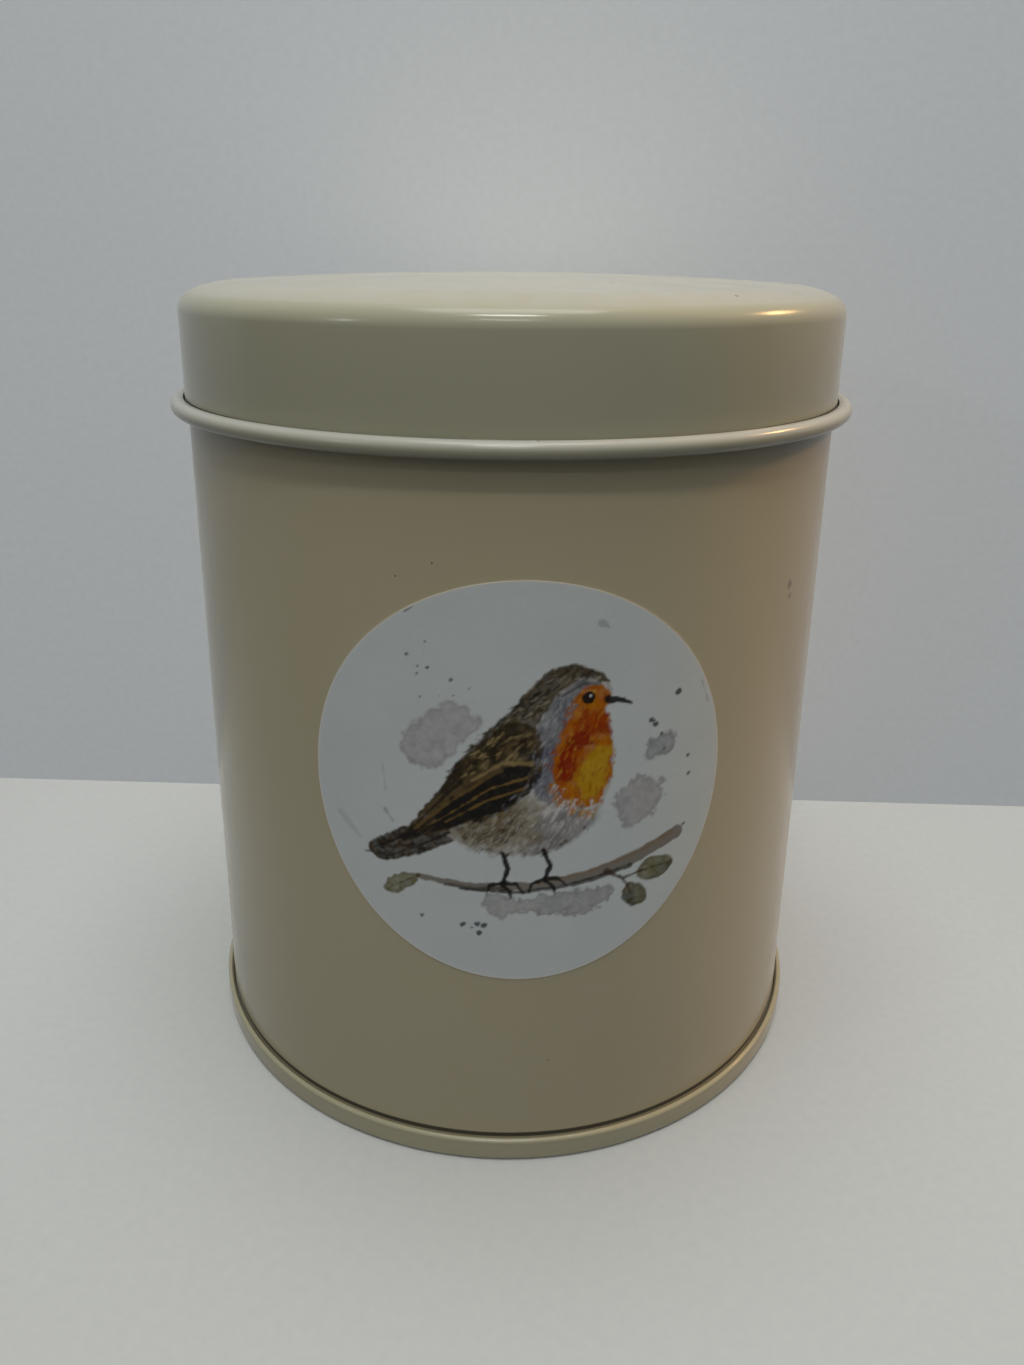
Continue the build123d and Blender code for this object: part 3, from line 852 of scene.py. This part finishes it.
def paint(piece, x, y):
    chance = np.random.default_rng(picture["seed"])
    white = np.array(fromHex(label["paperWhite"])[:3])
    colour = white[None, :] * (1 + 0.02 * patches(x, y, 5, 90) + 0.012 * patches(x, y, 0.5, 93))[:, None]
    granulation = 0.6 * patches(x, y, 0.45, 91) + 0.4 * patches(x, y, 1.1, 92)
    roughness = patches(x, y, 0.6, 94)
    for number, wash in enumerate(picture["washes"] + picture["bird"]):
        layWash(colour, x, y, wash, 10 + 4 * number, granulation)
    for corners, count, *tuft in picture["feathers"]:
        outline = softOutline(corners)
        starts = chance.uniform(outline.min(0), outline.max(0), (count * 3, 2))
        starts = starts[depthInside(starts[:, 0], starts[:, 1], outline) > 0.1][:count]
        for start in starts:
            layTuft(colour, x, y, start, tuft, (13, 0.5), 0.3, chance, roughness)
    for corners, count, *tuft in picture["fringes"]:
        outline = softOutline(corners)
        starts = outline[chance.integers(len(outline), size=count)] + chance.normal(0, 0.15, (count, 2))
        for start in starts:
            layTuft(colour, x, y, start, tuft, (16, 0.4), 0.2, chance, roughness)
    for stroke in picture["strokes"] + picture["smudges"]:
        layStroke(colour, x, y, stroke, roughness)
    (lightX, lightY), lightSize = picture["eyeLight"]
    glint = (1 - fade(np.hypot(x - lightX, y - lightY), lightSize * 0.6, lightSize * 1.2))[:, None]
    colour = colour * (1 - glint) + picture["glintWhite"] * glint
    for middle, spread, count, largest in picture["splashes"]:
        for _ in range(count):
            at = chance.normal(middle, spread)
            size = largest * chance.uniform(0.3, 1.0)
            code = picture["splashColours"][chance.integers(len(picture["splashColours"]))]
            drop = ([tuple(at), (at[0] + size * 0.5, at[1] + size * 0.3)], size, size * 0.8, code, 0.85)
            layStroke(colour, x, y, drop, roughness)
    # the white of the cut edge, a little proud of the print
    edge = fade(np.hypot(x, y), label["edgeAt"] - label["edgeFade"], label["edgeAt"])[:, None]
    colour = colour * (1 - edge) + np.array(fromHex(label["cutEdge"])[:3]) * edge
    layer = piece.data.color_attributes.new(name="painting", type="FLOAT_COLOR", domain="POINT")
    opaque = np.concatenate([colour, np.ones((len(x), 1))], 1)
    layer.data.foreach_set("color", opaque.astype(np.float32).ravel())


# the object

# circles of painted shade and painted highlight round the tin: radius, height, the distances over which it
# fades, strength, colour
rings = {
    # painted shade in the crevice between the wall and the base's seam
    "seamCrevice": (wallRadius + 0.13 * mm, baseHigh.z + 0.1 * mm, 0.3 * mm, 0.46 * mm, 0.88, enamel["paintedShade"]),
    # painted shade in the crevice between the lid's skirt and its bead
    "beadCrevice": (lidHigh.x - 2.05 * mm, lidLow.z + 2.0 * mm, 0.22 * mm, 0.32 * mm, 0.85, enamel["paintedShade"]),
    # painted highlight along the bead's top, where it faces the light from above
    "beadHighlight": (lidHigh.x - 0.75 * mm, lidLow.z + 1.75 * mm, 0.1 * mm, 0.95 * mm, 0.85, enamel["highlightTint"]),
    # painted shadow of the lid's bead on the wall below it
    "lidShadow": (wallRadius, lidLow.z - 0.4 * mm, 0, 5.2 * mm, 0.36, enamel["lidShadow"]),
    # painted shade: the wall a little darker towards the bottom
    "footShade": (wallRadius, 0, 0, 80 * mm, 0.09, enamel["paintedShade"]),
    # painted shade: the lid's skirt darker towards its bead
    "skirtShade": (lidHigh.x - 2.15 * mm, lidLow.z + 2.2 * mm, 0, 14 * mm, 0.24, enamel["paintedShade"]),
    # painted contact shadow along the foot's standing edge
    "footLine": (baseHigh.x - 0.1 * mm, 0, 0.12 * mm, 0.5 * mm, 0.85, enamel["paintedShade"]),
    # painted shade dulling the lit top of the base's fold
    "foldShade": (baseHigh.x - 0.2 * mm, baseHigh.z, 0, 1.2 * mm, 0.16, enamel["paintedShade"]),
}
# place and size in millimetres, strength and kind of each small mark
bodyMarks = [
    ((37.7, -32.5, 81.6), 0.8, 0.6, "scuff"), ((37.9, -32.2, 79.9), 0.6, 0.5, "scuff"),
    ((-11.2, -48.5, 89.4), 0.16, 0.85, "grime"), ((-15.7, -47.2, 87.4), 0.14, 0.85, "grime"),
    ((4.4, -49.5, 16.6), 0.16, 0.85, "grime"),
]
lidMarks = [
    ((-14.4, -11, 122), 0.5, 0.85, "grime"), ((-11.1, -15.7, 121.9), 0.35, 0.85, "grime"),
    ((11.4, -31.2, 121.4), 0.3, 0.85, "grime"), ((25.7, -38.6, 120.2), 0.3, 0.85, "grime"),
    ((-23, 14, 121.5), 0.5, 0.85, "grime"), ((6, 20, 121.8), 0.4, 0.85, "grime"),
    ((-17, -16, 121.7), 0.35, 0.85, "grime"), ((18.2, -24.2, 121.5), 0.2, 0.85, "grime"),
    ((0.6, -51.3, 104.7), 0.35, 0.9, "chip"), ((1.1, -51.3, 104.65), 0.22, 0.8, "grime"),
]
creams = {
    "body": ("#cac09f", "#c5ba95"),
    "lid": ("#c5c3a7", "#c1bfa1"),
    "base": ("#c4be9e", "#beb795"),
    # strength of the dust film on the lid, which also paints the pale sheen of its top
    "lidDustAndSheen": 0.34,
}
creamBody = makeEnamel("creamEnamelBody", *creams["body"], marks=bodyMarks,
                       rings=[rings["footShade"], rings["lidShadow"], rings["seamCrevice"]])
creamLid = makeEnamel("creamEnamelLid", *creams["lid"], marks=lidMarks, dustAndSheen=creams["lidDustAndSheen"],
                      rings=[rings["skirtShade"], rings["beadHighlight"], rings["beadCrevice"]])
creamBase = makeEnamel("creamEnamelBase", *creams["base"],
                       rings=[rings["foldShade"], rings["seamCrevice"], rings["footLine"]])
bareTin = makeTinplate()

lidPiece = makeLid()
inner = lidHigh.x - 2 * lid["bead"] + 0.5 * sheet
giveMaterial(lidPiece, [creamLid, bareTin], facesWhere(
    lidPiece, lambda radius, height, outward, up: (radius < inner) & ((outward < -0.5) | (up < -0.3))))
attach(lidPiece, "lid")
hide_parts("lid")
print("lid made")

bodyPiece = makeBody()
giveMaterial(bodyPiece, [creamBody, bareTin], facesWhere(
    bodyPiece, lambda radius, height, outward, up:
    (radius < wallRadius - 0.5 * sheet) & (height < bodyHigh.z - 2.2 * body["curl"])))
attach(bodyPiece, "canister")
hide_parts("body_shell")
print("body made")

basePiece = makeBase()
giveMaterial(basePiece, [creamBase, bareTin], facesWhere(
    basePiece, lambda radius, height, outward, up: (radius < wallRadius - sheet) & (up > 0.2)))
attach(basePiece, "canister")
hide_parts("base_panel")
print("base made")

labelPiece = makeLabel()
giveMaterial(labelPiece, [makePaper()])
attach(labelPiece, "canister")
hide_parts("picture_label")
print("label made")

compound = makeCompound()
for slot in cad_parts["seam_compound"].material_slots:
    slot.material = compound


# table and wall

stage = {
    "stippleSize": 1.6 * mm,
    "stippleDepth": 0.05 * mm,
    "wallMiddle": 57.6 * mm,     # behind the tin's axis
    "wallTurn": -4.07,
    "tableSize": 6,
    "wallSize": 3,
}
tablePaint = {
    "name": "paintedTable",
    "light": "#e2e4df",
    "dark": "#d7dad7",
    "roughness": 0.45,
    "glow": 0.0,
    "dimmed": {"from": (0.02, 0.06, 0), "start": 0.11, "end": 0.24, "colour": "#8f8c7e", "strength": 0.36},
}
wallPaint = {
    "name": "paintedWall",
    "light": "#dfe5e8",
    "dark": "#d6dadc",
    "roughness": 0.8,
    "glow": 0.185,               # window light that only the wall gets
}


def makeBoardPaint(coat):
    # rolled paint on board, with the roller's fine stipple
    material, tree = newMaterial(coat["name"])
    place = addNode(tree, "ShaderNodeTexCoord").outputs["Object"]
    mottle = addNode(tree, "ShaderNodeTexNoise", None, {
        "Vector": place, "Scale": 1 / stage["stippleSize"], "Detail": 4.0})
    tone = addNode(tree, "ShaderNodeMix", {"data_type": "RGBA"}, {
        "Factor": mottle.outputs["Fac"], 6: fromHex(coat["light"]), 7: fromHex(coat["dark"])})
    dimmed = coat.get("dimmed")
    if dimmed:
        # painted shade: the table a little darker away from the tin
        away = addNode(tree, "ShaderNodeVectorMath", {"operation": "DISTANCE"}, {0: place, 1: dimmed["from"]})
        amount = addNode(tree, "ShaderNodeMapRange", {"clamp": True, "interpolation_type": "SMOOTHSTEP"}, {
            "Value": away.outputs["Value"],
            "From Min": dimmed["start"], "From Max": dimmed["end"], "To Max": dimmed["strength"]})
        tone = addNode(tree, "ShaderNodeMix", {"data_type": "RGBA"}, {
            "Factor": amount.outputs["Result"], 6: tone.outputs[2], 7: fromHex(dimmed["colour"])})
    bump = addNode(tree, "ShaderNodeBump", None, {
        "Strength": 0.5, "Distance": stage["stippleDepth"], "Height": mottle.outputs["Fac"]})
    shader = addNode(tree, "ShaderNodeBsdfPrincipled", None, {
        "Base Color": tone.outputs[2], "Roughness": coat["roughness"], "Normal": bump.outputs["Normal"],
        "Emission Color": fromHex(coat["light"]), "Emission Strength": coat["glow"]})
    if coat is wallPaint:
        # from behind, the wall isn't there
        side = addNode(tree, "ShaderNodeNewGeometry")
        clear = addNode(tree, "ShaderNodeBsdfTransparent")
        shader = addNode(tree, "ShaderNodeMixShader", None, {
            0: side.outputs["Backfacing"], 1: shader.outputs[0], 2: clear.outputs[0]})
    addNode(tree, "ShaderNodeOutputMaterial", None, {"Surface": shader.outputs[0]})
    return material


deselectAll()
bpy.ops.mesh.primitive_plane_add(size=stage["tableSize"])
table = bpy.context.object
table.name = "table"
giveMaterial(table, [makeBoardPaint(tablePaint)])

bpy.ops.mesh.primitive_plane_add(size=stage["wallSize"],
                                 location=(0, stage["wallMiddle"], stage["wallSize"] / 2),
                                 rotation=(math.radians(90), 0, math.radians(stage["wallTurn"])))
wall = bpy.context.object
wall.name = "wall"
giveMaterial(wall, [makeBoardPaint(wallPaint)])
wall.visible_shadow = False
wall.visible_diffuse = False
table.visible_diffuse = False


# light

# azimuth from the front towards +X and elevation in degrees, distance and size in metres, power in watts
lights = {
    "ceiling": {"azimuth": 0, "elevation": 89.9, "distance": 1.4, "size": (0.9, 0.9),
                "power": 7.6, "colour": "#fbfcff"},
    "frontLamp": {"azimuth": -4.5, "elevation": 62, "distance": 1.6, "size": (0.4, 0.07),
                  "power": 3.7, "colour": "#fffdf8"},
    "window": {"azimuth": -4.5, "elevation": 42, "distance": 1.6, "size": (0.42, 0.04),
               "power": 1.2, "colour": "#fbfcff"},
    "warmLamp": {"azimuth": 102, "elevation": 34, "distance": 0.6, "size": (0.095, 0.055),
                 "power": 0.83, "colour": "#ffc47a", "tinOnly": True},
    "warmFill": {"azimuth": 100, "elevation": 40, "distance": 1.2, "size": (0.8, 0.8),
                 "power": 0.75, "colour": "#ffc682"},
    "leftLamp": {"azimuth": -58, "elevation": 24, "distance": 1.2, "size": (0.05, 0.03),
                 "power": 0.35, "colour": "#f2f6ff"},
    "backFill": {"azimuth": 190, "elevation": 20, "distance": 1.3, "size": (1.4, 0.6),
                 "power": 4.0, "colour": "#f6f9ff", "tinOnly": True, "soft": True},
}
# the stage gets no light from a lamp that is for the tin only
darkStage = bpy.data.collections.new("darkStage")
for number, item in enumerate((table, wall)):
    darkStage.objects.link(item)
    darkStage.collection_objects[number].light_linking.link_state = "EXCLUDE"
target = Vector((0, 0, 0.06))    # half way up the tin
for name, one in lights.items():
    azimuth, elevation = math.radians(one["azimuth"]), math.radians(one["elevation"])
    level = math.cos(elevation)
    towards = Vector((math.sin(azimuth) * level, -math.cos(azimuth) * level, math.sin(elevation)))
    bpy.ops.object.light_add(type="AREA", location=target + towards * one["distance"])
    lamp = bpy.context.object
    lamp.name = name
    lamp.rotation_euler = towards.to_track_quat("Z", "Y").to_euler()
    lamp.data.shape = "RECTANGLE"
    lamp.data.size, lamp.data.size_y = one["size"]
    lamp.data.energy = one["power"]
    lamp.data.color = fromHex(one["colour"])[:3]
    if one.get("tinOnly"):
        lamp.light_linking.receiver_collection = darkStage
    if one.get("soft"):
        lamp.visible_glossy = False

# strength of the room's light from above and below the table's height, and of what the camera sees of it
room = {"above": 0.24, "below": 0.04, "seen": 0.5, "colour": "#f4f5f6"}
sky = bpy.data.worlds.new("room")
bpy.context.scene.world = sky
sky.use_nodes = True
skyTree = sky.node_tree
skyTree.nodes.clear()
direction = addNode(skyTree, "ShaderNodeTexCoord").outputs["Generated"]
height = addNode(skyTree, "ShaderNodeSeparateXYZ", None, {0: direction})
strength = addNode(skyTree, "ShaderNodeMapRange", {"clamp": True}, {
    "Value": height.outputs["Z"], "From Min": -0.05, "From Max": 0.15,
    "To Min": room["below"], "To Max": room["above"]})
glow = addNode(skyTree, "ShaderNodeBackground", None, {
    "Color": fromHex(room["colour"]), "Strength": strength.outputs["Result"]})
backdrop = addNode(skyTree, "ShaderNodeBackground", None, {
    "Color": fromHex(room["colour"]), "Strength": room["seen"]})
rays = addNode(skyTree, "ShaderNodeLightPath")
seen = addNode(skyTree, "ShaderNodeMixShader", None, {
    0: rays.outputs["Is Camera Ray"], 1: glow.outputs[0], 2: backdrop.outputs[0]})
addNode(skyTree, "ShaderNodeOutputWorld", None, {"Surface": seen.outputs[0]})
bpy.context.scene.view_settings.view_transform = "Standard"


# camera

view = {
    "place": (-6.9 * mm, -168.3 * mm, 124.7 * mm),
    "heading": 1.81,             # degrees to the right of straight ahead
    "down": 17.93,
    "roll": 0.49,
    "lens": 27.38,
    "shift": (0.0097, -0.0672),
    "sensor": 36,
    "nearest": 0.01,
}
bpy.ops.object.camera_add(location=view["place"])
camera = bpy.context.object
aim = Euler((math.radians(90 - view["down"]), 0, -math.radians(view["heading"]))).to_matrix()
camera.rotation_euler = (aim @ Matrix.Rotation(math.radians(view["roll"]), 3, "Z")).to_euler()
camera.data.sensor_width = view["sensor"]
camera.data.lens = view["lens"]
camera.data.shift_x, camera.data.shift_y = view["shift"]
camera.data.clip_start = view["nearest"]
bpy.context.scene.camera = camera
print("stage, light and camera made")

deselectAll()
